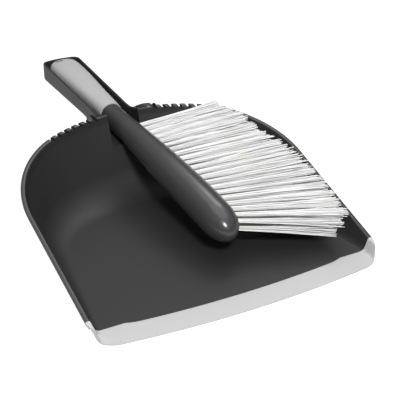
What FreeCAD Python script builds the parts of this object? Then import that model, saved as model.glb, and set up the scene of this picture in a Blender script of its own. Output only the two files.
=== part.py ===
import FreeCAD, Part
import math
import os

# Dust pan and brush set, in millimetres. +Z is up, +Y runs from the lip to the handle,
# and the origin is under the middle of the whole set, on the surface that it stands on.
Vector = FreeCAD.Vector

overall_length = 333.0
pan_width = 220.0
half_width = pan_width / 2
lip_front_y = -overall_length / 2
handle_end_y = overall_length / 2

# Pan tray: the rim lies in one plane that falls from the back to the lip.
rim_back_y = 38.0
rim_back_height = 62.3
rim_front_y = lip_front_y + 9.0
rim_front_height = 7.5
rim_fall = (rim_back_height - rim_front_height) / (rim_back_y - rim_front_y)
back_radius = 163.0
corner_radius = 80.0
side_start_y = -47.0
loft_front_y = lip_front_y - 6.0
wall = 2.0
wall_draft = math.radians(20.0)
cove_share = 0.5
cove_steps = 4
upper_rises = (0.66, 1.0)
hollow_rise = 1.3
flange_width = 3.4
flange_thickness = 2.2
flange_overhang = 1.2

# Lip: a bowed soft strip moulded on the front of the floor and up the ends of the side walls.
bow_depth = 8.4
bow_radius = (half_width ** 2 + bow_depth ** 2) / (2 * bow_depth)
lip_width = 17.2
lip_corner_radius = 20.0
lip_tip_y = -143.0
lip_side_width = 6.5
lip_inner_corner = 34.0
lip_feather_angle = 4.0
lip_end_height = 3.0
tongue_reach = 4.0
tongue_low = 0.5
tongue_high = 1.1
tongue_inset = 8.0
tongue_rear_y = -60.0
lip_fall_back = 5.0

# Comb: slanting notches through the rim flange, for combing dust out of the bristles.
notch_count = 7
notch_pitch = 6.9
notch_first = 25.8
notch_width = 3.0
notch_depth = 2.4
notch_slant = math.radians(28.0)

# Handle of the pan: an open trough that the brush handle drops into.
trough_centre_x = -1.4
trough_front_half = 14.8
trough_rear_half = 16.8
trough_bottom = 43.0
trough_top_front = 55.6
trough_top_rear = 59.8
trough_wall = 1.8
trough_corner = 6.5
trough_edge = 4.5
trough_end_bow = 2.0
cradle_bottom = 36.5
cradle_front_y = 40.0
cradle_rear_y = 66.0
cradle_top = 52.0
trough_start_y = 12.0
tool_low = -5.0
tool_high = 90.0
gusset_radius = 14.0
gusset_bottom = 44.0
gusset_root = 2.0
gusset_base = 3.0
gusset_front = 1.0
gusset_skin = 0.6
gusset_rise = 6.0
nub_radius = 3.3
nub_gap_half = 11.2
nub_length = 7.9
nub_back = 0.6
nub_up = 0.9

# Brush outside: rows of (y, centre x, centre z, half width, half height), tip to grip end.
brush_tip = (11.6, -115.6, 26.2)
brush_stations = [
    (-114.2, 11.5, 26.4, 5.2, 5.3),
    (-110.5, 11.2, 27.0, 8.9, 9.0),
    (-104.0, 10.8, 28.0, 11.7, 12.0),
    (-95.0, 10.2, 29.6, 12.9, 13.3),
    (-78.0, 8.8, 32.8, 13.0, 13.4),
    (-55.0, 6.8, 36.8, 12.8, 13.0),
    (-30.0, 4.5, 41.0, 12.1, 12.3),
    (-8.0, 2.5, 44.6, 11.1, 11.2),
    (10.0, 1.0, 47.1, 10.1, 10.4),
    (26.0, 0.0, 49.0, 9.4, 9.6),
    (40.0, -0.5, 49.2, 8.9, 9.9),
    (50.0, -0.8, 50.5, 8.7, 8.8),
    (58.0, -1.0, 51.7, 8.7, 7.7),
    (66.0, -1.1, 52.7, 8.8, 6.9),
    (74.0, -1.2, 52.9, 9.0, 7.1),
    (92.0, -1.3, 53.1, 9.8, 7.3),
    (110.0, -1.2, 53.5, 10.9, 7.7),
    (130.0, -1.1, 53.9, 11.9, 8.0),
    (148.0, -1.2, 54.0, 12.4, 8.0),
    (157.0, -1.2, 54.0, 11.5, 7.4),
    (161.0, -1.2, 54.0, 8.9, 5.9),
]
grip_end = (-1.2, 162.9, 54.0)
grip_step = 0.5
seam_y = 57.0
core_start_y = 37.0
core_end_y = 142.0
core_shares = (0.62, 0.66)
hang_hole_y = 155.0
hang_hole_x = -5.6
hang_hole_radius = 3.2

# Bristles: tufts set in blind holes, in columns of three along the side of the body.
tuft_columns = 20
tuft_first_y = 23.0
tuft_last_y = -103.5
row_angles = (25.0, 0.0, -25.0)
tuft_root_radius = 1.85
tuft_tip_radius = 2.3
hole_radius = 2.0
hole_depth = 6.6
tuft_start_depth = 4.8
hole_run_out = 6.0

# Fan of the tufts: degrees and lengths that change from the rear columns to the tip.
rear_share = 0.45
swing_all = -2.0
swing_rear = -7.0
swing_tip = -18.0
swing_row = -2.0
climb_all = 3.0
climb_tip = -6.0
climb_rear = 4.0
climb_row = -2.0
free_length = 76.0
length_bulge = 6.0
length_tip = 3.0
length_rear = -10.0
length_row = -3.0
hollow_length = -7.0
hollow_share = 0.32
hollow_spread = 0.18

# Staples, each a short flat wire that holds the fold of its tuft.
anchor_thickness = 0.5
anchor_width = 3.9
anchor_height = 1.5
anchor_depth = 6.4


def rim_height(y):
    return rim_front_height + rim_fall * (y - rim_front_y)


def blend(table, y):
    """Values of a station table at y, in straight lines between its stations."""
    rows = sorted(table, key=lambda row: row[0])
    if y <= rows[0][0]:
        return rows[0][1:]
    for low, high in zip(rows, rows[1:]):
        if y <= high[0]:
            part = (y - low[0]) / (high[0] - low[0])
            return tuple(a + (b - a) * part for a, b in zip(low[1:], high[1:]))
    return rows[-1][1:]


def mirror_x(point):
    return Vector(-point.x, point.y, point.z)


def arc(a, b, c):
    return Part.Arc(a, b, c).toShape()


def line(a, b):
    return Part.LineSegment(a, b).toShape()


def tray_outline(inset, share, base_z, rise):
    """Closed plan outline of the tray, inset by a length plus a share of the rim height.

    It is tilted to base_z + rise * rim_height(y)."""
    def step(y):
        return inset + share * (rim_height(y) - base_z)
    apex_y = rim_back_y - step(rim_back_y)
    back = back_radius - step(rim_back_y)
    corner = corner_radius - step(side_start_y)
    mid = Vector(half_width - step(side_start_y), side_start_y, 0)
    front = Vector(half_width - step(loft_front_y), loft_front_y, 0)
    along = (mid - front).normalize()
    inward = Vector(-along.y, along.x, 0)
    back_centre = Vector(0, apex_y - back, 0)
    start = front + inward * corner - back_centre
    half_b = start.dot(along)
    reach = -half_b + math.sqrt(half_b ** 2 - start.dot(start) + (back - corner) ** 2)
    corner_centre = back_centre + start + along * reach
    outward = (corner_centre - back_centre).normalize()
    back_end = corner_centre + outward * corner
    side_end = corner_centre - inward * corner
    middle = (outward - inward).normalize()
    corner_mid = corner_centre + middle * corner
    apex = Vector(0, apex_y, 0)
    edges = [
        line(front, side_end),
        arc(side_end, corner_mid, back_end),
        arc(back_end, apex, mirror_x(back_end)),
        arc(mirror_x(back_end), mirror_x(corner_mid), mirror_x(side_end)),
        line(mirror_x(side_end), mirror_x(front)),
        line(mirror_x(front), front),
    ]
    tilt = FreeCAD.Matrix()
    tilt.A32 = rise * rim_fall
    tilt.A34 = base_z + rise * (rim_height(0) - base_z)
    return Part.Wire(edges).transformGeometry(tilt)


def wall_profile():
    """(rise, inset) pairs of the wall section, both as shares of the rim height."""
    toe = math.tan(wall_draft)
    sweep = math.pi / 2 - wall_draft
    tangent = cove_share * math.tan(sweep / 2)
    pairs = []
    for index in range(cove_steps + 1):
        angle = sweep * index / cove_steps
        rise = cove_share * (1 - math.cos(angle))
        pairs.append((rise, toe + tangent - cove_share * math.sin(angle)))
    for rise in upper_rises:
        pairs.append((rise, toe * (1 - rise)))
    return pairs


def tray_solid(inset, base_z, top_rise=1.0):
    """The tray filled up: its floor at base_z, its walls inset by inset at the rim."""
    wires = [tray_outline(inset, share, base_z, rise) for rise, share in wall_profile()]
    if top_rise > 1.0:
        wires.append(tray_outline(inset, math.tan(wall_draft) * (1 - top_rise), base_z, top_rise))
    return Part.makeLoft(wires, True, True)


def bowed_plan(half, corner, front_y, rear_y):
    """Plan face with a bowed front edge and two rounded front corners."""
    centre_y = front_y + bow_radius
    corner_x = half - corner
    corner_y = centre_y - math.sqrt((bow_radius - corner) ** 2 - corner_x ** 2)
    corner_centre = Vector(corner_x, corner_y, 0)
    down = (corner_centre - Vector(0, centre_y, 0)).normalize()
    side = Vector(half, corner_y, 0)
    toe = corner_centre + down * corner
    elbow = corner_centre + (down + Vector(1, 0, 0)).normalize() * corner
    rear = Vector(half, rear_y, 0)
    edges = [
        line(rear, side),
        arc(side, elbow, toe),
        arc(toe, Vector(0, front_y, 0), mirror_x(toe)),
        arc(mirror_x(toe), mirror_x(elbow), mirror_x(side)),
        line(mirror_x(side), mirror_x(rear)),
        line(mirror_x(rear), rear),
    ]
    return Part.Face(Part.Wire(edges))


def prism(face, low, high):
    face = face.copy()
    face.translate(Vector(0, 0, low))
    return face.extrude(Vector(0, 0, high - low))


def trough_plan(inset):
    front = trough_front_half - inset
    rear = trough_rear_half - inset
    end_y = handle_end_y - inset
    slope = (rear - front) / (end_y - rim_back_y)
    start = front - slope * (rim_back_y - trough_start_y)
    bow = Vector(0, end_y, 0)
    near = Vector(start, trough_start_y, 0)
    far = Vector(rear, end_y - trough_end_bow, 0)
    edges = [
        line(near, far),
        arc(far, bow, mirror_x(far)),
        line(mirror_x(far), mirror_x(near)),
        line(mirror_x(near), near),
    ]
    face = Part.Face(Part.Wire(edges))
    face.translate(Vector(trough_centre_x, 0, 0))
    return face


def trough_solid(inset, low, high):
    """Trough block with its rear corners and its lower edges rounded."""
    block = prism(trough_plan(inset), low, high)
    upright = []
    for edge in block.Edges:
        box = edge.BoundBox
        if box.ZLength > 1 and box.YMin > rim_back_y:
            upright.append(edge)
    block = block.makeFillet(trough_corner - inset, upright)
    lower = []
    for edge in block.Edges:
        box = edge.BoundBox
        if box.ZMax < low + 0.01 and box.YMax > trough_start_y + 0.01:
            lower.append(edge)
    return block.makeFillet(trough_edge - inset / 2, lower)


def deepened_trough(inset, high):
    """Trough block with the deeper front that cradles the neck of the brush."""
    block = trough_solid(inset, trough_bottom + inset, high)
    cradle = trough_solid(inset, cradle_bottom + inset, cradle_top)
    ramp = above_plane(cradle_front_y, cradle_bottom + inset, cradle_rear_y, trough_bottom + inset)
    return block.fuse(cradle.common(ramp))


def above_plane(y_a, z_a, y_b, z_b):
    """A big block over the sloping line through two points in the YZ plane."""
    far = 400.0
    slope = (z_b - z_a) / (y_b - y_a)
    low_z = z_a + slope * (-far - y_a)
    high_z = z_a + slope * (far - y_a)
    corners = [
        Vector(-far, -far, low_z),
        Vector(-far, far, high_z),
        Vector(-far, far, high_z + far),
        Vector(-far, -far, low_z + far),
    ]
    return Part.Face(Part.makePolygon(corners + corners[:1])).extrude(Vector(2 * far, 0, 0))


def gusset(side):
    """Web with a hollow round front between the trough and the back wall."""
    inner_x = trough_front_half - gusset_root
    base_y = rim_back_y - gusset_base
    reach = gusset_radius
    a = Vector(inner_x, base_y, 0)
    b = Vector(trough_front_half + reach, base_y, 0)
    c = Vector(trough_front_half + reach, rim_back_y - gusset_front, 0)
    e = Vector(trough_front_half + gusset_skin, rim_back_y + reach, 0)
    f = Vector(inner_x, rim_back_y + reach, 0)
    bend = math.sqrt(0.5)
    centre = Vector(c.x, e.y, 0)
    d = centre - Vector(bend * (c.x - e.x), bend * (e.y - c.y), 0)
    edges = [line(a, b), line(b, c), arc(c, d, e), line(e, f), line(f, a)]
    solid = prism(Part.Face(Part.Wire(edges)), gusset_bottom, trough_top_front + gusset_rise)
    top = above_plane(rim_back_y, rim_back_height, rim_back_y + reach, trough_top_front)
    solid = solid.cut(top)
    if side < 0:
        solid = solid.mirror(Vector(0, 0, 0), Vector(1, 0, 0))
    solid.translate(Vector(trough_centre_x, 0, 0))
    return solid


def nub(side):
    """Thick round end of the rim beside the opening for the brush neck."""
    y = rim_back_y - nub_radius + nub_back
    z = rim_back_height - nub_radius + nub_up
    start = Vector(trough_centre_x + side * (nub_gap_half + nub_radius), y, z)
    rod = Part.makeCylinder(nub_radius, nub_length, start, Vector(side, 0, 0))
    near = Part.makeSphere(nub_radius, start)
    far = Part.makeSphere(nub_radius, start + Vector(side * nub_length, 0, 0))
    return rod.fuse([near, far])


def notch(side, index):
    """One slanting slot of the comb, centred on the back arc of the rim."""
    along = notch_first + notch_pitch * index
    angle = along / back_radius
    centre_y = rim_back_y - back_radius
    radius = back_radius - flange_width / 2
    block = Part.makeBox(notch_width, 4 * flange_width, 3 * notch_depth)
    block.translate(Vector(-notch_width / 2, -2 * flange_width, 0))
    block.rotate(Vector(0, 0, 0), Vector(0, 0, 1), math.degrees(notch_slant) * side)
    block.translate(Vector(0, radius, 0))
    block.rotate(Vector(0, 0, 0), Vector(0, 0, 1), -math.degrees(angle))
    y = centre_y + radius * math.cos(angle)
    block.translate(Vector(0, centre_y, rim_height(y) - notch_depth))
    if side < 0:
        block = block.mirror(Vector(0, 0, 0), Vector(1, 0, 0))
    return block


def tray_shell():
    """Floor, walls, rim flange, trough, gussets and nubs, before the lip is split off."""
    outer = tray_solid(flange_overhang, 0.0)
    hollow = tray_solid(flange_width, wall, hollow_rise)
    rim_plate = Part.Face(tray_outline(0.0, 0.0, 0.0, 1.0)).extrude(Vector(0, 0, flange_thickness))
    rim_plate.translate(Vector(0, 0, -flange_thickness))
    trough = deepened_trough(0.0, tool_high)
    trough = trough.cut(above_plane(rim_back_y, trough_top_front, handle_end_y, trough_top_rear))
    channel = deepened_trough(trough_wall, 2 * tool_high)
    shell = outer.fuse([rim_plate, trough, gusset(1), gusset(-1)])
    shell = shell.cut(hollow)
    shell = shell.fuse([nub(1), nub(-1)])
    shell = shell.cut(channel)
    return shell.removeSplitter()


def pan_parts():
    shell = tray_shell()
    plan = bowed_plan(half_width, lip_corner_radius, lip_front_y, overall_length)
    shell = shell.common(prism(plan, tool_low, tool_high))
    half_inner = half_width - lip_side_width
    inner_front = lip_front_y + lip_width
    keep = prism(bowed_plan(half_inner, lip_inner_corner, inner_front, 0.0), tool_low, tool_high)
    deep = tool_high - tool_low
    rear_block = Part.makeBox(2 * pan_width, overall_length, deep, Vector(-pan_width, lip_tip_y, tool_low))
    keep = keep.fuse(rear_block)
    body = shell.common(keep)
    notches = [notch(side, index) for side in (1, -1) for index in range(notch_count)]
    body = body.cut(notches)
    strip = shell.cut(keep)
    tongue_half = half_inner - tongue_inset
    reach_plan = bowed_plan(tongue_half, lip_inner_corner, inner_front - tongue_reach, tongue_rear_y)
    tongue = prism(reach_plan, tongue_low, tongue_high).cut(keep)
    feather = tray_solid(flange_width, wall, hollow_rise)
    feather.rotate(Vector(0, inner_front, wall), Vector(1, 0, 0), lip_feather_angle)
    fall = above_plane(lip_tip_y, rim_height(lip_tip_y), rim_front_y - lip_fall_back, lip_end_height)
    strip = strip.cut([feather, tongue, fall])
    return body.fuse(tongue).removeSplitter(), strip.removeSplitter()


def oval(y, x, z, half_x, half_z):
    centre = Vector(x, y, z)
    across = centre + Vector(half_x, 0, 0)
    up = centre + Vector(0, 0, half_z)
    ends = (across, up) if half_x >= half_z else (up, across)
    return Part.Wire(Part.Ellipse(ends[0], ends[1], centre).toShape())


def brush_outside(step):
    """Whole brush from its round tip to the end of the grip, grown by step."""
    sections = [Part.Vertex(Vector(*brush_tip))]
    for y, x, z, half_x, half_z in brush_stations:
        sections.append(oval(y, x, z, half_x + step, half_z + step))
    sections.append(Part.Vertex(Vector(*grip_end) + Vector(0, step, 0)))
    return Part.makeLoft(sections, True, False)


def behind_seam():
    """Everything on the grip's side of the seam between the body and the grip."""
    return Part.makeBox(pan_width, overall_length, tool_high, Vector(-half_width, seam_y, 0))


def grip_core():
    """The body's own stem inside the grip."""
    stations = []
    for y, x, z, half_x, half_z in brush_stations:
        if core_start_y < y < core_end_y:
            stations.append(oval(y, x, z, half_x * core_shares[0], half_z * core_shares[1]))
    return Part.makeLoft(stations, True, True)


def tuft_frame(column, row):
    """Root point on the body, direction and free length of one tuft."""
    share = column / (tuft_columns - 1)
    y = tuft_first_y + (tuft_last_y - tuft_first_y) * share
    x, z, half_x, half_z = blend(brush_stations, y)
    around = math.radians(row_angles[row])
    root = Vector(x + half_x * math.cos(around), y, z + half_z * math.sin(around))
    rear = max(0.0, 1.0 - share / rear_share)
    swing = swing_all + swing_rear * rear + swing_tip * share ** 4 + swing_row * row * rear
    climb = climb_all + climb_tip * share + climb_rear * rear + climb_row * row
    length = free_length + length_bulge * math.sin(math.pi * share) + length_tip * share
    length += length_rear * rear ** 3 + length_row * row
    length += hollow_length * math.exp(-((share - hollow_share) / hollow_spread) ** 2)
    swing = math.radians(swing)
    climb = math.radians(climb)
    flat = math.cos(climb)
    along = Vector(math.cos(swing) * flat, math.sin(swing) * flat, math.sin(climb))
    return root, along, length


def tuft_hole(column, row):
    root, along, _ = tuft_frame(column, row)
    return Part.makeCylinder(hole_radius, hole_depth + hole_run_out, root - along * hole_depth, along)


def anchor(column, row):
    """Flat wire staple that holds the folded tuft in its hole."""
    root, along, _ = tuft_frame(column, row)
    block = Part.makeBox(anchor_thickness, anchor_width, anchor_height)
    block.translate(Vector(-anchor_thickness / 2, -anchor_width / 2, 0))
    turn = FreeCAD.Rotation(Vector(0, 1, 0), Vector(0, 0, 1), along, "ZYX")
    block.Placement = FreeCAD.Placement(root - along * anchor_depth, turn).multiply(block.Placement)
    return block


def tuft(column, row):
    root, along, length = tuft_frame(column, row)
    start = root - along * tuft_start_depth
    whole = tuft_start_depth + length
    return Part.makeCone(tuft_root_radius, tuft_tip_radius, whole, start, along)


def brush_parts():
    behind = behind_seam()
    core = grip_core()
    holes = [tuft_hole(column, row) for column in range(tuft_columns) for row in range(3)]
    body = brush_outside(0.0).cut(behind).fuse(core).cut(holes)
    eye = Part.makeCylinder(hang_hole_radius, tool_high, Vector(hang_hole_x, hang_hole_y, 0))
    grip = brush_outside(grip_step).common(behind).cut([core, eye])
    return body, grip


def save(name, shape):
    shape.exportStep("parts/%s.step" % name)
    box = shape.optimalBoundingBox(False)
    size = "%.2f..%.2f  %.2f..%.2f  %.2f..%.2f" % (
        box.XMin, box.XMax, box.YMin, box.YMax, box.ZMin, box.ZMax)
    print(name, shape.isValid(), len(shape.Solids), round(shape.Volume), size)


def main():
    os.makedirs("parts", exist_ok=True)
    pan, strip = pan_parts()
    save("pan_body", pan)
    save("lip_strip", strip)
    body, grip = brush_parts()
    save("brush_body", body)
    save("brush_grip", grip)
    anchors = []
    for column in range(tuft_columns):
        rows = [tuft(column, row) for row in range(3)]
        anchors += [anchor(column, row) for row in range(3)]
        save("bristle_tuft_%02d" % (column + 1), Part.makeCompound(rows))
    save("tuft_anchors", Part.makeCompound(anchors))


main()
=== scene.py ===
import math
import random

import bmesh
import bpy
from mathutils import Matrix, Vector


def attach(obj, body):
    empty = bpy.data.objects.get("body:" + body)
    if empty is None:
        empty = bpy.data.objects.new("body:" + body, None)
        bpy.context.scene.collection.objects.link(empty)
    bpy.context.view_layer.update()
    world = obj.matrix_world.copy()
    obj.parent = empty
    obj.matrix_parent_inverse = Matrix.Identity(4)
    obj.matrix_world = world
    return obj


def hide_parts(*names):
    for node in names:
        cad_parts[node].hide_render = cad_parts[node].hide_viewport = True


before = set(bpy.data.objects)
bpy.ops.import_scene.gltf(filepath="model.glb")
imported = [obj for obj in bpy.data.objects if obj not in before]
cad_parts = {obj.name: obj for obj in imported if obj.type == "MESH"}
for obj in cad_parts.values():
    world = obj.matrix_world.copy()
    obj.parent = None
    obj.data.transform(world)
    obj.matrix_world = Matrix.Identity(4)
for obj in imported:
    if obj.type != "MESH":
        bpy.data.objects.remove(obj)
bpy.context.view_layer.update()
scene = bpy.context.scene
mm = 0.001


class Flow:
    # wraps a shader socket, so that sums on it add Math nodes
    def __init__(self, maker, socket):
        self.maker = maker
        self.socket = socket

    def join(self, operation, first, second):
        return self.maker.node("ShaderNodeMath", {"operation": operation}, first, second)

    def __add__(self, other):
        return self.join("ADD", self, other)

    def __sub__(self, other):
        return self.join("SUBTRACT", self, other)

    def __rsub__(self, other):
        return self.join("SUBTRACT", other, self)

    def __mul__(self, other):
        return self.join("MULTIPLY", self, other)

    __radd__ = __add__
    __rmul__ = __mul__


class Nodes:
    # adds nodes to one node tree
    def __init__(self, tree):
        self.tree = tree

    def node(self, kind, settings, *values, output=0, **named):
        made = self.tree.nodes.new(kind)
        for key, value in settings.items():
            setattr(made, key, value)
        named = {key.replace("_", " "): value for key, value in named.items()}
        for key, value in [*enumerate(values), *named.items()]:
            if isinstance(value, Flow):
                self.tree.links.new(value.socket, made.inputs[key])
            else:
                made.inputs[key].default_value = value
        return Flow(self, made.outputs[output])


class Finish(Nodes):
    # one material with a Principled shader, patterned in the piece's own space
    def __init__(self, name, **constants):
        self.material = bpy.data.materials.new(name)
        self.material.use_nodes = True
        super().__init__(self.material.node_tree)
        self.shader = self.tree.nodes["Principled BSDF"]
        self.place = self.node("ShaderNodeTexCoord", {}, output="Object")
        for key, value in constants.items():
            self.shader.inputs[key.replace("_", " ")].default_value = value

    def noise(self, scale, detail=2.0, stretch=(1.0, 1.0, 1.0)):
        spot = self.node("ShaderNodeMapping", {}, Vector=self.place, Scale=stretch)
        return self.node("ShaderNodeTexNoise", {}, Vector=spot, Scale=scale, Detail=detail)

    def blend(self, share, first, second):
        return self.node("ShaderNodeMix", {"data_type": "RGBA"}, output=2, Factor=share, A=first, B=second)

    def feed(self, **flows):
        for key, flow in flows.items():
            self.tree.links.new(flow.socket, self.shader.inputs[key.replace("_", " ")])
        return self.material


view = {
    "azimuth": 28.2,
    "elevation": 29.0,
    "distance": 833.8 * mm,
    "target": (0.0377, -0.0195, 0.0),
    "lens": 96.8,
}


def placeCamera():
    turn = math.radians(view["azimuth"])
    lift = math.radians(view["elevation"])
    away = Vector((-math.sin(turn) * math.cos(lift), -math.cos(turn) * math.cos(lift), math.sin(lift)))
    camera = bpy.data.objects.new("camera", bpy.data.cameras.new("camera"))
    camera.data.lens = view["lens"]
    camera.data.sensor_width = 36.0
    camera.data.clip_start = 0.01
    camera.location = Vector(view["target"]) + away * view["distance"]
    camera.rotation_euler = away.to_track_quat("Z", "Y").to_euler()
    scene.collection.objects.link(camera)
    scene.camera = camera


lamps = {
    "key": {"place": (-0.24, -0.82, 0.72), "aim": (0.0, -0.08, 0.03), "size": 0.18, "power": 10.0},
    "top": {"place": (0.15, 0.05, 1.4), "aim": (0.0, 0.0, 0.0), "size": 1.6, "power": 10.0},
    "rear": {"place": (0.49, 0.47, 1.07), "aim": (0.0, 0.04, 0.06), "size": 0.5, "power": 2.4},
}


def placeLamps():
    for name, lamp in lamps.items():
        data = bpy.data.lights.new(name, "AREA")
        data.shape = "DISK"
        data.size = lamp["size"]
        data.energy = lamp["power"]
        light = bpy.data.objects.new(name, data)
        light.location = lamp["place"]
        aim = Vector(lamp["place"]) - Vector(lamp["aim"])
        light.rotation_euler = aim.to_track_quat("Z", "Y").to_euler()
        scene.collection.objects.link(light)


# the room's soft light, dim near the horizon and bright overhead
roomLight = {"dim": 0.08, "bright": 0.7, "dimBelow": 0.3, "brightAbove": 0.95}


def placeRoom():
    world = bpy.data.worlds.new("softRoom")
    world.use_nodes = True
    sky = Nodes(world.node_tree)
    direction = sky.node("ShaderNodeTexCoord", {}, output="Generated")
    height = sky.node("ShaderNodeSeparateXYZ", {}, direction, output="Z")
    glow = sky.node("ShaderNodeMapRange", {}, Value=height, From_Min=roomLight["dimBelow"],
                    From_Max=roomLight["brightAbove"], To_Min=roomLight["dim"], To_Max=roomLight["bright"])
    backdrop = world.node_tree.nodes["Background"]
    backdrop.inputs["Color"].default_value = (1.0, 1.0, 1.0, 1.0)
    world.node_tree.links.new(glow.socket, backdrop.inputs["Strength"])
    scene.world = world
    scene.view_settings.view_transform = "Standard"


# shapes are made in millimetres, and finishPiece turns them to metres
def solid(name, bm):
    bmesh.ops.recalc_face_normals(bm, faces=bm.faces)
    mesh = bpy.data.meshes.new(name)
    bm.to_mesh(mesh)
    bm.free()
    made = bpy.data.objects.new(name, mesh)
    scene.collection.objects.link(made)
    return made


def freeze(piece):
    # puts the result of the piece's modifiers into its mesh
    shape = bpy.data.meshes.new_from_object(piece.evaluated_get(bpy.context.evaluated_depsgraph_get()))
    piece.modifiers.clear()
    piece.data = shape


def combine(base, tool, operation, keep=False):
    step = base.modifiers.new("combine", "BOOLEAN")
    step.operation = operation
    step.solver = "MANIFOLD"
    step.object = tool
    freeze(base)
    if not keep:
        bpy.data.objects.remove(tool)
    return base


def copyOf(piece, name):
    twin = bpy.data.objects.new(name, piece.data.copy())
    scene.collection.objects.link(twin)
    return twin


def loft(rings, closed=False):
    # an edge loop through the first ring, extruded from ring to ring; open rings get a flat face across
    bm = bmesh.new()
    column = bm.verts.layers.int.new("column")
    first = [bm.verts.new(point) for point in rings[0]]
    for index, vert in enumerate(first):
        vert[column] = index
    pairs = list(zip(first, first[1:] + first[:1]))
    edges = [bm.edges.new(pair) for pair in (pairs if closed else pairs[:-1])]
    loops = [edges]
    for ring in rings[1:]:
        grown = bmesh.ops.extrude_edge_only(bm, edges=edges)["geom"]
        fresh = {item for item in grown if isinstance(item, bmesh.types.BMVert)}
        for vert in fresh:
            vert.co = ring[vert[column]]
        edges = [item for item in grown if isinstance(item, bmesh.types.BMEdge) and fresh.issuperset(item.verts)]
        loops.append(edges)
    for loop in (loops[0], loops[-1]):
        if not closed:
            ends = [vert for edge in loop for vert in edge.verts]
            ends = [vert for vert in ends if ends.count(vert) == 1]
            loop = loop + [bm.edges.new(ends)]
        bmesh.ops.contextual_create(bm, geom=loop)
    if not closed:
        bmesh.ops.holes_fill(bm, edges=[edge for edge in bm.edges if edge.is_boundary], sides=0)
    bmesh.ops.remove_doubles(bm, verts=bm.verts, dist=0.001)
    return bm


def prism(points, low, high):
    bm = bmesh.new()
    face = bm.faces.new([bm.verts.new((x, y, low)) for x, y in points])
    grown = bmesh.ops.extrude_face_region(bm, geom=[face])["geom"]
    bmesh.ops.translate(bm, verts=[v for v in grown if isinstance(v, bmesh.types.BMVert)], vec=(0, 0, high - low))
    return bm


def finishPiece(piece, material, body, slot, *nodes, sharp=38.0, soften=0.0):
    # scale to metres, soft edges, smooth shading, material and place in the assembly
    piece.data.transform(Matrix.Scale(mm, 4))
    bm = bmesh.new()
    bm.from_mesh(piece.data)
    bmesh.ops.remove_doubles(bm, verts=bm.verts, dist=0.00001)
    bmesh.ops.dissolve_degenerate(bm, edges=bm.edges, dist=0.00001)
    bm.to_mesh(piece.data)
    bm.free()
    if soften:
        edge = piece.modifiers.new("softEdges", "BEVEL")
        edge.width = soften * mm
        edge.segments = 2
        edge.limit_method = "ANGLE"
        edge.angle_limit = math.radians(sharp)
        edge.use_clamp_overlap = True
        freeze(piece)
    piece.data.shade_smooth()
    piece.data.set_sharp_from_angle(angle=math.radians(sharp))
    weigh = piece.modifiers.new("evenShade", "WEIGHTED_NORMAL")
    weigh.keep_sharp = True
    piece.data.materials.clear()
    piece.data.materials.append(material)
    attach(piece, body)
    if nodes:
        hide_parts(*nodes)
    return piece


pan = {
    "halfWidth": 110.0,
    "frontY": -166.5,
    "endY": 166.5,
    "margin": 6.0,
    "rimBackY": 38.0,
    "rimBackHeight": 62.3,
    "rimFrontY": -157.5,
    "rimFrontHeight": 7.5,
    "backRadius": 163.0,
    "cornerRadius": 80.0,
    "floor": 2.0,
    "draft": 20.0,  # degrees that the walls lean outwards
    "cove": 0.5,  # radius between floor and wall, as a share of the wall's height
    "coveSteps": 14,
    "flange": 3.4,
    "overhang": 1.2,
    "flangeDrop": 2.4,
    "soften": 0.35,
}
troughShape = {
    "centreX": -1.4,
    "frontY": 12.0,
    "frontHalf": 14.8,
    "rearHalf": 16.8,
    "rearBow": 2.0,
    "bottom": 43.0,
    "topFront": 55.6,
    "topRear": 59.8,
    "wall": 1.8,
    "corner": 6.5,
    "edge": 4.5,
    "cradleDrop": 6.5,  # extra depth at the front, under the neck of the brush
    "cradleFrontY": 40.0,
    "cradleRearY": 66.0,
}
rimEnds = {
    "fillet": 14.0,
    "low": 44.0,
    "root": 2.0,
    "base": 3.0,
    "skin": 0.6,
    "bead": 3.0,  # radius of the rolled edge at the end of the rim
    "thinBead": 1.0,
    "beadIn": 2.0,
    "beadBack": 1.4,
    "beadLift": 0.9,
    "wallIn": 0.9,
    "run": 20.0,
    "runStep": 5.0,
    "runLean": 0.3,
    "fade": 4.0,
    "endX": 25.2,
    "endBack": 0.6,
    "sides": 20,
}
comb = {"count": 7, "first": 25.8, "pitch": 6.9, "width": 2.8, "depth": 2.1, "slant": 28.0}
lip = {
    "bow": 8.4,
    "width": 17.2,
    "corner": 20.0,
    "innerCorner": 34.0,
    "tipY": -143.0,
    "side": 6.5,
    "shelf": 4.0,
    "feather": 6.0,  # degrees that the top of the lip slopes down
    "lower": 1.3,
    "cutRun": 40.0,
    "cutTop": 30.0,
    "cutTurn": 12.0,
    "cutSteps": 60,
    "soften": 0.3,
}
toolLow = -5.0  # the cutting blocks reach from below the pan
toolHigh = 90.0  # to above it
rimFall = (pan["rimBackHeight"] - pan["rimFrontHeight"]) / (pan["rimBackY"] - pan["rimFrontY"])


def rimHeight(y):
    return pan["rimFrontHeight"] + rimFall * (y - pan["rimFrontY"])


def sweep(centre, radius, start, stop, count):
    # points of an arc with the outward direction at each
    points = []
    for index in range(count):
        angle = start + (stop - start) * index / (count - 1)
        out = Vector((math.cos(angle), math.sin(angle)))
        points.append((Vector(centre) + out * radius, out))
    return points


def mirrored(half):
    # half an outline and its mirror image, without doubling the point on the axis
    other = [(Vector((-point.x, point.y)), Vector((-out.x, out.y))) for point, out in half[-2::-1]]
    return half + other


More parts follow.
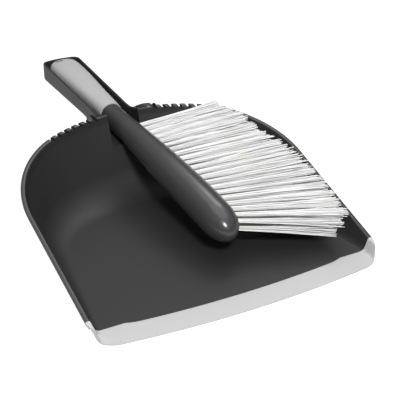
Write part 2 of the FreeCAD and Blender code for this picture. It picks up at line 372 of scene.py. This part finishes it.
def trayOutline():
    reach = pan["backRadius"] - pan["cornerRadius"]
    backY = pan["rimBackY"] - pan["backRadius"]
    cornerX = pan["halfWidth"] - pan["cornerRadius"]
    cornerY = backY + math.sqrt(reach ** 2 - cornerX ** 2)
    split = math.atan2(cornerY - backY, cornerX)
    start = pan["frontY"] - pan["margin"]
    side = []
    for index in range(16):
        y = start + (cornerY - start) * index / 16
        side.append((Vector((pan["halfWidth"], y)), Vector((1.0, 0.0))))
    side += sweep((cornerX, cornerY), pan["cornerRadius"], 0.0, split, 26)[:-1]
    side += sweep((0.0, backY), pan["backRadius"], split, math.pi / 2, 22)
    return mirrored(side)


def trayRing(outline, inset, share=0.0, base=0.0, rise=1.0, drop=0.0):
    ring = []
    for point, out in outline:
        step = inset + share * (rimHeight(point.y) - base)
        spot = point - out * step
        ring.append((spot.x, spot.y, base + rise * (rimHeight(spot.y) - base) - drop))
    return ring


def trayWall(outline, inset, base, rises):
    # cove from the flat floor, then the leaning wall
    toe = math.tan(math.radians(pan["draft"]))
    turn = math.pi / 2 - math.radians(pan["draft"])
    tangent = pan["cove"] * math.tan(turn / 2)
    rings = []
    for index in range(pan["coveSteps"] + 1):
        angle = turn * index / pan["coveSteps"]
        share = toe + tangent - pan["cove"] * math.sin(angle)
        rings.append(trayRing(outline, inset, share, base, pan["cove"] * (1 - math.cos(angle))))
    for rise in rises:
        rings.append(trayRing(outline, inset, toe * (1 - rise), base, rise))
    return rings


def troughOutline():
    slope = (troughShape["rearHalf"] - troughShape["frontHalf"]) / (pan["endY"] - pan["rimBackY"])
    startX = troughShape["frontHalf"] - slope * (pan["rimBackY"] - troughShape["frontY"])
    along = Vector((slope, 1.0)).normalized()
    out = Vector((along.y, -along.x))
    rearRadius = (troughShape["rearHalf"] ** 2 + troughShape["rearBow"] ** 2) / (2 * troughShape["rearBow"])
    rearCentre = Vector((0.0, pan["endY"] - rearRadius))
    corner = troughShape["corner"]
    start = Vector((startX, troughShape["frontY"])) - out * corner - rearCentre
    half = start.dot(along)
    reach = -half + math.sqrt(half ** 2 - start.dot(start) + (rearRadius - corner) ** 2)
    centre = rearCentre + start + along * reach
    split = math.atan2(centre.y - rearCentre.y, centre.x - rearCentre.x)
    side = []
    sideEnd = centre + out * corner
    for index in range(16):
        side.append((Vector((startX, troughShape["frontY"])).lerp(sideEnd, index / 16), out))
    side += sweep(centre, corner, math.atan2(out.y, out.x), split, 10)[:-1]
    side += sweep(rearCentre, rearRadius, split, math.pi / 2, 7)
    return mirrored(side)


def troughTop(y):
    share = (y - pan["rimBackY"]) / (pan["endY"] - pan["rimBackY"])
    return troughShape["topFront"] + (troughShape["topRear"] - troughShape["topFront"]) * share


def cradleDrop(y):
    # the front of the trough is deeper, where it cradles the neck of the brush
    share = (troughShape["cradleRearY"] - y) / (troughShape["cradleRearY"] - troughShape["cradleFrontY"])
    return troughShape["cradleDrop"] * min(1.0, max(0.0, share))


def troughRing(outline, inset, height=None, drop=0.0, sunk=1.0):
    ring = []
    for point, out in outline:
        spot = point - out * inset
        z = troughTop(spot.y) - drop if height is None else height - cradleDrop(spot.y) * sunk
        ring.append((spot.x + troughShape["centreX"], spot.y, z))
    return ring


def troughBend(outline, inset, bottom, radius, steps=6):
    rings = []
    for index in range(steps + 1):
        angle = math.pi / 2 * index / steps
        share = radius * (1 - math.sin(angle))
        rings.append(troughRing(outline, inset + share, bottom + radius * (1 - math.cos(angle))))
    return rings


def bowedPlan(half, corner, frontY, rearY):
    radius = (pan["halfWidth"] ** 2 + lip["bow"] ** 2) / (2 * lip["bow"])
    centre = Vector((0.0, frontY + radius))
    cornerX = half - corner
    cornerY = centre.y - math.sqrt((radius - corner) ** 2 - cornerX ** 2)
    split = math.atan2(cornerY - centre.y, cornerX)
    points = [(Vector((half, rearY)), None)]
    points += sweep((cornerX, cornerY), corner, 0.0, split, 16)[:-1]
    points += sweep(centre, radius, split, -math.pi / 2, 30)
    side = [point for point, _ in points]
    return [(p.x, p.y) for p in side] + [(-p.x, p.y) for p in side[-2::-1]]


def eased(share):
    share = min(1.0, max(0.0, share))
    return share * share * (3 - 2 * share)


def gussetTool(side):
    # web with a hollow round front, where the trough runs into the rim
    reach = rimEnds["fillet"]
    innerX = troughShape["frontHalf"] - rimEnds["root"]
    outerX = troughShape["frontHalf"] + reach
    backY = pan["rimBackY"]
    hollow = sweep((outerX, backY + reach), reach, -math.pi / 2, -math.pi, 12)
    points = [(innerX, backY - rimEnds["base"]), (outerX, backY - rimEnds["base"])]
    for index, (point, _) in enumerate(hollow):
        share = index / (len(hollow) - 1)
        points.append((point.x + rimEnds["skin"] * share, point.y - (1 - share)))
    points.append((innerX, backY + reach))
    bm = prism([(troughShape["centreX"] + side * x, y) for x, y in points], rimEnds["low"], toolHigh)
    for vert in bm.verts:
        if vert.co.z > rimEnds["low"] + 1:
            ease = eased((vert.co.y - backY) / reach)
            vert.co.z = rimHeight(min(vert.co.y, backY)) * (1 - ease) + troughTop(vert.co.y) * ease
    return solid("gusset", bm)


def beadPath(reach, backY, wallX):
    # plan of the rolled edge: along the trough wall, round the fillet and along the rim
    count = int(rimEnds["run"] / rimEnds["runStep"])
    path = []
    for step in range(count):
        path.append((wallX + rimEnds["runLean"] * step, backY + reach + rimEnds["run"] - rimEnds["runStep"] * step))
    centre = (wallX + reach + rimEnds["runLean"] * count, backY + reach)
    path += [(point.x, point.y) for point, _ in sweep(centre, reach, math.pi, 1.5 * math.pi, 14)]
    return path + [(rimEnds["endX"], backY - rimEnds["endBack"])]


def beadTool(side):
    # rolled edge that runs from the trough wall round into the thick end of the rim
    reach = rimEnds["fillet"] - rimEnds["beadIn"]
    backY = pan["rimBackY"] - rimEnds["bead"] + rimEnds["beadBack"]
    path = beadPath(reach, backY, troughShape["frontHalf"] - rimEnds["wallIn"])
    loops = []
    for index, (x, y) in enumerate(path):
        ahead = path[min(index + 1, len(path) - 1)]
        behind = path[max(index - 1, 0)]
        tangent = Vector((ahead[0] - behind[0], ahead[1] - behind[1], 0.0)).normalized()
        across = tangent.cross(Vector((0, 0, 1)))
        fade = reach + rimEnds["fade"]
        ease = eased((backY + fade - y) / fade)
        radius = rimEnds["thinBead"] + (rimEnds["bead"] - rimEnds["thinBead"]) * ease
        top = troughTop(y) * (1 - ease) + (pan["rimBackHeight"] + rimEnds["beadLift"]) * ease
        loops.append((Vector((x, y, top - radius)), tangent, across, radius))
    centre, tangent, across, radius = loops[-1]
    for angle in (0.5, 1.0, 1.35, math.pi / 2):
        shift = tangent * radius * 0.4 * math.sin(angle)
        loops.append((centre + shift, tangent, across, radius * math.cos(angle)))
    turn = [2 * math.pi * step / rimEnds["sides"] for step in range(rimEnds["sides"])]
    rings = []
    for centre, _, across, radius in loops:
        ring = [centre + (across * math.cos(a) + Vector((0, 0, math.sin(a)))) * radius for a in turn]
        rings.append([(troughShape["centreX"] + side * p.x, p.y, p.z) for p in ring])
    return solid("bead", loft(rings, closed=True))


def notchTools():
    bm = bmesh.new()
    backY = pan["rimBackY"] - pan["backRadius"]
    radius = pan["backRadius"] - pan["flange"] / 2
    for side in (1, -1):
        for index in range(comb["count"]):
            angle = (comb["first"] + comb["pitch"] * index) / pan["backRadius"]
            y = backY + radius * math.cos(angle)
            place = Matrix.Rotation(-side * angle, 4, "Z") @ Matrix.Translation((0, radius, 0))
            place = place @ Matrix.Rotation(math.radians(comb["slant"]), 4, "Z")
            place = Matrix.Translation((0, backY, rimHeight(y) + comb["depth"] / 2)) @ place
            size = Matrix.Diagonal((comb["width"], 4 * pan["flange"], 3 * comb["depth"], 1.0))
            bmesh.ops.create_cube(bm, size=1.0, matrix=place @ size)
    return solid("notches", bm)


def featherTool(hollow):
    # sloping top of the lip: the room in the tray, lowered, in front of a line that follows the bow
    radius = (pan["halfWidth"] ** 2 + lip["bow"] ** 2) / (2 * lip["bow"])
    centreY = pan["frontY"] + radius
    inner = radius - lip["width"] + lip["shelf"]
    slope = math.tan(math.radians(lip["feather"]))
    outer = inner + lip["cutRun"]
    low = pan["floor"] - lip["cutRun"] * slope
    profile = [(inner, pan["floor"]), (outer, low), (outer, lip["cutTop"]), (inner, lip["cutTop"])]
    turn = math.radians(lip["cutTurn"])
    bm = bmesh.new()
    verts = [bm.verts.new((0.0, centreY - r, z)) for r, z in profile]
    face = bm.faces.new(verts)
    bmesh.ops.rotate(bm, verts=verts, cent=(0, centreY, 0), matrix=Matrix.Rotation(-turn, 3, "Z"))
    bmesh.ops.spin(bm, geom=[face], cent=(0, centreY, 0), axis=(0, 0, 1), angle=2 * turn, steps=lip["cutSteps"])
    wedge = solid("wedge", bm)
    lowered = copyOf(hollow, "lowered")
    lowered.data.transform(Matrix.Translation((0, 0, -lip["lower"])))
    return combine(lowered, wedge, "INTERSECT")


def buildPan():
    outline = trayOutline()
    flange = pan["flange"]
    toe = math.tan(math.radians(pan["draft"]))
    rings = trayWall(outline, flange, pan["floor"], (0.55, 0.75, 0.9))
    for inset, drop in ((flange + 0.8 * toe, 0.9), (flange - 0.2, 0.25), (flange - 0.8, 0.0), (0.9, 0.0),
                        (0.25, 0.25), (0.0, 0.9), (0.0, 1.6), (0.25, 2.2), (0.9, pan["flangeDrop"])):
        rings.append(trayRing(outline, inset, drop=drop))
    rings += trayWall(outline, pan["overhang"], 0.0, (0.6, 0.8, 0.93))[::-1]
    tray = solid("panShell", loft(rings))
    room = solid("room", loft(trayWall(outline, flange, pan["floor"], (1.0, 1.3))))
    print("tray lofted", len(tray.data.polygons), "faces")

    plan = troughOutline()
    wall = troughShape["wall"]
    inside = troughBend(plan, wall, troughShape["bottom"] + wall, troughShape["edge"] - wall / 2)
    outside = troughBend(plan, 0.0, troughShape["bottom"], troughShape["edge"])[::-1]
    top = [troughRing(plan, inset, drop=drop) for inset, drop in
           ((wall, 0.6), (wall - 0.18, 0.18), (wall - 0.6, 0.0), (0.6, 0.0), (0.18, 0.18), (0.0, 0.6))]
    trough = solid("trough", loft(inside + top + outside))
    channel = solid("channel", loft(inside + [troughRing(plan, wall, height=toolHigh, sunk=0.0)]))
    for side in (1, -1):
        combine(trough, gussetTool(side), "UNION")
    combine(trough, room, "DIFFERENCE", keep=True)
    combine(tray, trough, "UNION")
    for side in (1, -1):
        combine(tray, beadTool(side), "UNION")
    combine(tray, channel, "DIFFERENCE")
    combine(tray, notchTools(), "DIFFERENCE")
    plan = bowedPlan(pan["halfWidth"], lip["corner"], pan["frontY"], pan["endY"] + pan["margin"])
    combine(tray, solid("front", prism(plan, toolLow, toolHigh)), "INTERSECT")
    print("trough, rim ends and comb joined", len(tray.data.polygons), "faces")

    inner = bowedPlan(pan["halfWidth"] - lip["side"], lip["innerCorner"], pan["frontY"] + lip["width"], 0.0)
    keep = solid("keep", prism(inner, toolLow, toolHigh))
    wide, far = 2 * pan["halfWidth"], 2 * pan["endY"]
    rear = [(-wide, lip["tipY"]), (wide, lip["tipY"]), (wide, far), (-wide, far)]
    combine(keep, solid("rear", prism(rear, toolLow - 1, toolHigh + 1)), "UNION")
    strip = combine(copyOf(tray, "lipEdge"), keep, "DIFFERENCE", keep=True)
    combine(tray, keep, "INTERSECT")
    combine(strip, featherTool(room), "DIFFERENCE")
    bpy.data.objects.remove(room)
    print("lip split off", len(strip.data.polygons), "faces")
    return tray, strip


brush = {
    "tipY": -115.6,
    "tipStartY": -95.0,
    "seamY": 57.0,
    "gripEndY": 163.4,
    "gripRoundY": 148.0,
    "gripProud": 0.5,
    "sides": 48,
    "gripSquare": 2.6,
    "stem": (0.62, 0.66),
    "stemEndY": 130.0,
    "socket": (0.64, 0.68),
    "squareOver": 35.0,
    "tipSteps": 16,
    "bodySteps": 70,
    "stemSteps": 20,
    "gripSteps": 50,
    "hole": (-5.6, 155.0, 3.2),
}
brushLine = [  # y, centre x, centre z, half width, half height
    (-115.6, 11.6, 26.2, 12.9, 13.2),
    (-95.0, 10.2, 29.6, 12.9, 13.3),
    (-78.0, 8.8, 32.8, 13.0, 13.4),
    (-55.0, 6.8, 36.8, 12.8, 13.0),
    (-30.0, 4.5, 41.0, 12.1, 12.3),
    (-8.0, 2.5, 44.6, 11.1, 11.2),
    (10.0, 1.0, 47.1, 10.1, 10.4),
    (26.0, 0.0, 49.0, 9.4, 9.6),
    (40.0, -0.5, 49.2, 8.9, 9.9),
    (50.0, -0.8, 50.5, 8.7, 8.8),
    (58.0, -1.0, 51.7, 8.7, 7.7),
    (66.0, -1.1, 52.7, 8.8, 6.9),
    (74.0, -1.2, 52.9, 9.0, 7.1),
    (92.0, -1.3, 53.1, 9.8, 7.3),
    (110.0, -1.2, 53.5, 10.9, 7.7),
    (130.0, -1.1, 53.9, 11.9, 8.0),
    (148.0, -1.2, 54.0, 12.4, 8.0),
    (164.0, -1.2, 54.0, 12.4, 8.0),
]


def brushAt(y):
    # smooth curve through the stations
    rows = brushLine
    index = max(i for i in range(len(rows) - 1) if rows[i][0] <= max(y, rows[0][0]))
    low, high = rows[index], rows[index + 1]
    before = rows[max(index - 1, 0)]
    after = rows[min(index + 2, len(rows) - 1)]
    span = high[0] - low[0]
    t = (y - low[0]) / span
    values = []
    for k in range(1, 5):
        enter = (high[k] - before[k]) / (high[0] - before[0]) * span
        leave = (after[k] - low[k]) / (after[0] - low[0]) * span
        values.append((2 * t ** 3 - 3 * t ** 2 + 1) * low[k] + (t ** 3 - 2 * t ** 2 + t) * enter
                      + (3 * t ** 2 - 2 * t ** 3) * high[k] + (t ** 3 - t ** 2) * leave)
    return values


def brushRing(y, share=1.0, grow=0.0, square=2.0, split=(1.0, 1.0)):
    x, z, halfX, halfZ = brushAt(y)
    ring = []
    for index in range(brush["sides"]):
        angle = 2 * math.pi * index / brush["sides"]
        across, up = math.cos(angle), math.sin(angle)
        spanX = (halfX + grow) * share * split[0] * math.copysign(abs(across) ** (2 / square), across)
        spanZ = (halfZ + grow) * share * split[1] * math.copysign(abs(up) ** (2 / square), up)
        ring.append((x + spanX, y, z + spanZ))
    return ring


def spread(start, stop, count):
    return [start + (stop - start) * index / count for index in range(count + 1)]


def buildBrushBody():
    rings = []
    reach = brush["tipStartY"] - brush["tipY"]
    for angle in spread(math.pi / 2, 0.0, brush["tipSteps"]):
        rings.append(brushRing(brush["tipStartY"] - reach * math.sin(angle), max(0.0, math.cos(angle))))
    for y in spread(brush["tipStartY"], brush["seamY"] - 0.5, brush["bodySteps"])[1:]:
        rings.append(brushRing(y))
    rings.append(brushRing(brush["seamY"] - 0.15, 1 - 0.15 / 9))
    rings.append(brushRing(brush["seamY"], 1 - 0.5 / 9))
    for y in spread(brush["seamY"], brush["stemEndY"], brush["stemSteps"]):
        rings.append(brushRing(y, split=brush["stem"]))
    body = solid("brushShell", loft(rings, closed=True))
    holes = bmesh.new()
    for column in range(tufts["columns"]):
        for row in range(3):
            root, along, _ = tuftFrame(column, row)
            turn = along.to_track_quat("Z", "Y").to_matrix().to_4x4()
            depth = tufts["holeDepth"] + tufts["holeRunOut"]
            place = Matrix.Translation(root - along * tufts["holeDepth"]) @ turn @ Matrix.Translation((0, 0, depth / 2))
            bmesh.ops.create_cone(holes, cap_ends=True, segments=14, radius1=tufts["holeRadius"],
                                  radius2=tufts["holeRadius"], depth=depth, matrix=place)
    combine(body, solid("tuftHoles", holes), "DIFFERENCE")
    print("brush body", len(body.data.polygons), "faces")
    return body


def buildGrip():
    grow = brush["gripProud"]
    rings = []
    square = brush["gripSquare"]
    for y in spread(brush["stemEndY"] + 0.5, brush["seamY"], brush["stemSteps"]):
        rings.append(brushRing(y, split=brush["socket"]))
    rings.append(brushRing(brush["seamY"], 1 - 0.4 / 9, grow, 2.0))
    rings.append(brushRing(brush["seamY"] + 0.12, 1 - 0.12 / 9, grow, 2.0))
    for y in spread(brush["seamY"] + 0.45, brush["gripRoundY"], brush["gripSteps"]):
        ease = min(1.0, (y - brush["seamY"]) / brush["squareOver"])
        rings.append(brushRing(y, 1.0, grow, 2.0 + (square - 2.0) * ease))
    reach = brush["gripEndY"] - brush["gripRoundY"]
    for angle in spread(0.0, math.pi / 2, 20)[1:]:
        along = math.sin(angle) ** 0.8
        share = max(0.0, 1 - along ** 3) ** (1 / 3)
        rings.append(brushRing(brush["gripRoundY"] + reach * along, share, grow, square))
    grip = solid("softGrip", loft(rings, closed=True))
    x, y, radius = brush["hole"]
    eye = bmesh.new()
    bmesh.ops.create_cone(eye, cap_ends=True, segments=32, radius1=radius, radius2=radius, depth=60.0,
                          matrix=Matrix.Translation((x, y, 50.0)))
    combine(grip, solid("eye", eye), "DIFFERENCE")
    print("grip", len(grip.data.polygons), "faces")
    return grip


tufts = {
    "columns": 20,
    "firstY": 23.0,
    "lastY": -103.5,
    "rowAngles": (25.0, 0.0, -25.0),
    "rootRadius": 1.5,
    "tipRadius": 3.25,
    "holeRadius": 2.0,
    "holeDepth": 6.6,
    "holeRunOut": 5.0,
    "startDepth": 4.8,
    "rearShare": 0.45,
    "swing": (-2.0, -7.0, -18.0, -2.0),  # all, rear, tip, row
    "climb": (3.0, -6.0, 4.0, -2.0),  # all, tip, rear, row
    "length": (76.0, 6.0, 3.0, -10.0, -3.0),  # all, bulge, tip, rear, row
    "hollow": (7.0, 0.32, 0.18),
    "strands": 38,
    "thickness": 0.27,
    "steps": 6,
    "trim": 2.8,
    "uneven": 2.1,
    "stray": 1.7,
    "loose": 0.012,
    "looseReach": 5.0,
    "looseLift": 0.6,
    "seed": 11,
}


def tuftFrame(column, row):
    # root on the body, direction and free length of one tuft
    share = column / (tufts["columns"] - 1)
    y = tufts["firstY"] + (tufts["lastY"] - tufts["firstY"]) * share
    x, z, halfX, halfZ = brushAt(y)
    around = math.radians(tufts["rowAngles"][row])
    root = Vector((x + halfX * math.cos(around), y, z + halfZ * math.sin(around)))
    rear = max(0.0, 1.0 - share / tufts["rearShare"])
    swing, swingRear, swingTip, swingRow = tufts["swing"]
    climb, climbTip, climbRear, climbRow = tufts["climb"]
    length, bulge, lengthTip, lengthRear, lengthRow = tufts["length"]
    depth, middle, width = tufts["hollow"]
    swing = math.radians(swing + swingRear * rear + swingTip * share ** 4 + swingRow * row * rear)
    climb = math.radians(climb + climbTip * share + climbRear * rear + climbRow * row)
    length += bulge * math.sin(math.pi * share) + lengthTip * share + lengthRear * rear ** 3 + lengthRow * row
    length -= depth * math.exp(-((share - middle) / width) ** 2)
    flat = math.cos(climb)
    return root, Vector((math.cos(swing) * flat, math.sin(swing) * flat, math.sin(climb))), length


def strandPath(column, row, chance):
    root, along, length = tuftFrame(column, row)
    side = along.cross(Vector((0, 0, 1))).normalized()
    up = side.cross(along)
    angle = chance.uniform(0, 2 * math.pi)
    reach = math.sqrt(chance.random())
    start = (side * math.cos(angle) + up * math.sin(angle)) * reach
    length += min(tufts["uneven"], chance.gauss(0.0, tufts["uneven"])) - tufts["trim"]
    bend = side * chance.gauss(0.0, tufts["stray"]) + up * chance.gauss(-0.2, 0.9)
    if chance.random() < tufts["loose"]:
        bend = up * tufts["looseLift"] - side * abs(chance.gauss(0.0, tufts["stray"] * tufts["looseReach"]))
    begin = root - along * tufts["startDepth"]
    points = []
    for step in range(tufts["steps"] + 1):
        t = step / tufts["steps"]
        width = tufts["rootRadius"] + (tufts["tipRadius"] - tufts["rootRadius"]) * t
        points.append(begin + along * (length + tufts["startDepth"]) * t + start * width + bend * t * t)
    return points


def buildColumn(column):
    chance = random.Random(tufts["seed"] + column)
    paths = [strandPath(column, row, chance) for row in range(3) for _ in range(tufts["strands"])]
    bm = bmesh.new()
    strand = bm.verts.layers.int.new("strand")
    for index, path in enumerate(paths):
        turn = (path[1] - path[0]).to_track_quat("Z", "Y").to_matrix().to_4x4()
        spin = Matrix.Rotation(chance.uniform(0, math.pi), 4, "Z")
        ring = bmesh.ops.create_circle(bm, cap_ends=False, segments=4, radius=tufts["thickness"],
                                       matrix=Matrix.Translation(path[0]) @ turn @ spin)
        for vert in ring["verts"]:
            vert[strand] = index
    edges = bm.edges[:]
    for step in range(1, tufts["steps"] + 1):
        grown = bmesh.ops.extrude_edge_only(bm, edges=edges)["geom"]
        fresh = {item for item in grown if isinstance(item, bmesh.types.BMVert)}
        for vert in fresh:
            path = paths[vert[strand]]
            vert.co += path[step] - path[step - 1]
        edges = [item for item in grown if isinstance(item, bmesh.types.BMEdge) and fresh.issuperset(item.verts)]
    bmesh.ops.holes_fill(bm, edges=[edge for edge in bm.edges if edge.is_boundary], sides=4)
    return solid("bristles_%02d" % (column + 1), bm)


plastics = {
    "charcoalPlastic": {"level": 0.0185, "roughness": 0.54, "shine": 0.35, "rimPolish": 0.6},
    "satinPlastic": {"level": 0.036, "roughness": 0.25, "shine": 0.45, "grain": 0.01, "mottle": 0.06},
    "softGrey": {"level": 0.36, "roughness": 0.55, "grain": 0.1, "mottle": 0.03},
    "lipRubber": {"level": 0.385, "roughness": 0.42, "grain": 0.06, "mottle": 0.02},
}
surface = {
    "cloudScale": 18.0,
    "grainScale": 900.0,
    "cloudSheen": 0.12,
    "grainSheen": 0.06,
    "grainDepth": 0.0002,
    "rimBand": (-0.006, -0.003),  # metres from the plane of the rim, where the polish sets in
}


def grey(level):
    return (level, level, level, 1.0)


def plastic(name, level, roughness, grain=0.12, mottle=0.1, shine=0.5, rimPolish=1.0):
    # moulded plastic: faint mottling, uneven sheen and a very fine grain, smoother along the pan's rim
    paint = Finish(name, Specular_IOR_Level=shine)
    cloud = paint.noise(surface["cloudScale"], 3.0)
    fine = paint.noise(surface["grainScale"])
    middle = roughness - (surface["cloudSheen"] + surface["grainSheen"]) / 2
    sheen = cloud * surface["cloudSheen"] + fine * surface["grainSheen"] + middle
    if rimPolish < 1.0:
        along = paint.node("ShaderNodeSeparateXYZ", {}, paint.place, output="Y")
        height = paint.node("ShaderNodeSeparateXYZ", {}, paint.place, output="Z")
        low, high = surface["rimBand"]
        polish = paint.node("ShaderNodeMapRange", {}, Value=height - along * rimFall - rimHeight(0.0) * mm,
                            From_Min=low, From_Max=high, To_Min=1.0, To_Max=rimPolish)
        sheen = sheen * polish
    paint.feed(Base_Color=paint.blend(cloud, grey(level * (1 - mottle)), grey(level * (1 + mottle))),
               Roughness=sheen,
               Normal=paint.node("ShaderNodeBump", {}, Height=fine, Strength=grain,
                                 Distance=surface["grainDepth"]))
    return paint.material


fibre = {
    "streaks": (25.0, 900.0, 900.0),
    "patchScale": 28.0,
    "patchFrom": 0.52,
    "patchTo": 0.7,
    "shade": grey(0.60),
    "light": grey(0.80),
    "cream": (0.78, 0.77, 0.71, 1.0),
    "roughness": 0.35,
    "streakSheen": 0.2,
}


def bristleFinish():
    # off-white filaments with darker streaks along them and a few cream patches
    paint = Finish("bristleFibre")
    streak = paint.noise(1.0, 1.0, stretch=fibre["streaks"])
    patch = paint.node("ShaderNodeMapRange", {}, Value=paint.noise(fibre["patchScale"]),
                       From_Min=fibre["patchFrom"], From_Max=fibre["patchTo"])
    paint.feed(Base_Color=paint.blend(streak, fibre["shade"], paint.blend(patch, fibre["light"], fibre["cream"])),
               Roughness=streak * fibre["streakSheen"] + fibre["roughness"])
    return paint.material


def wireFinish():
    paint = Finish("stapleWire", Metallic=1.0, Roughness=0.35)
    return paint.feed(Base_Color=paint.blend(paint.noise(400.0), grey(0.55), grey(0.7)))


paper = {"size": 6.0, "drop": 0.2, "glow": 1.0, "dark": 0.12, "pale": 0.14}


def layPaper():
    # the plain white floor, which glows a little so that it stays even
    sheet = bmesh.new()
    place = Matrix.Translation((0, 0, -paper["drop"] * mm))
    bmesh.ops.create_grid(sheet, x_segments=1, y_segments=1, size=paper["size"], matrix=place)
    floor = solid("floorSheet", sheet)
    paint = Finish("paper", Roughness=0.9, Emission_Strength=paper["glow"], Emission_Color=grey(1.0))
    tone = paint.blend(paint.noise(3.0), grey(paper["dark"]), grey(paper["pale"]))
    floor.data.materials.append(paint.feed(Base_Color=tone))


placeCamera()
placeLamps()
placeRoom()
finishes = {name: plastic(name, **values) for name, values in plastics.items()}
print("camera, lamps and plastics ready")

tray, strip = buildPan()
finishPiece(tray, finishes["charcoalPlastic"], "pan", "pan_plastic", "pan_body", soften=pan["soften"])
finishPiece(strip, finishes["lipRubber"], "pan", "soft_lip", "lip_strip", soften=lip["soften"])
finishPiece(buildBrushBody(), finishes["satinPlastic"], "brush", "brush_plastic", "brush_body")
finishPiece(buildGrip(), finishes["softGrey"], "brush", "soft_grip", "brush_grip")

filaments = bristleFinish()
for number in range(tufts["columns"]):
    name = "bristle_tuft_%02d" % (number + 1)
    finishPiece(buildColumn(number), filaments, "brush", "bristles", name, sharp=60.0)
print("bristles done")

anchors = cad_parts["tuft_anchors"]
anchors.data.materials.clear()
anchors.data.materials.append(wireFinish())
layPaper()
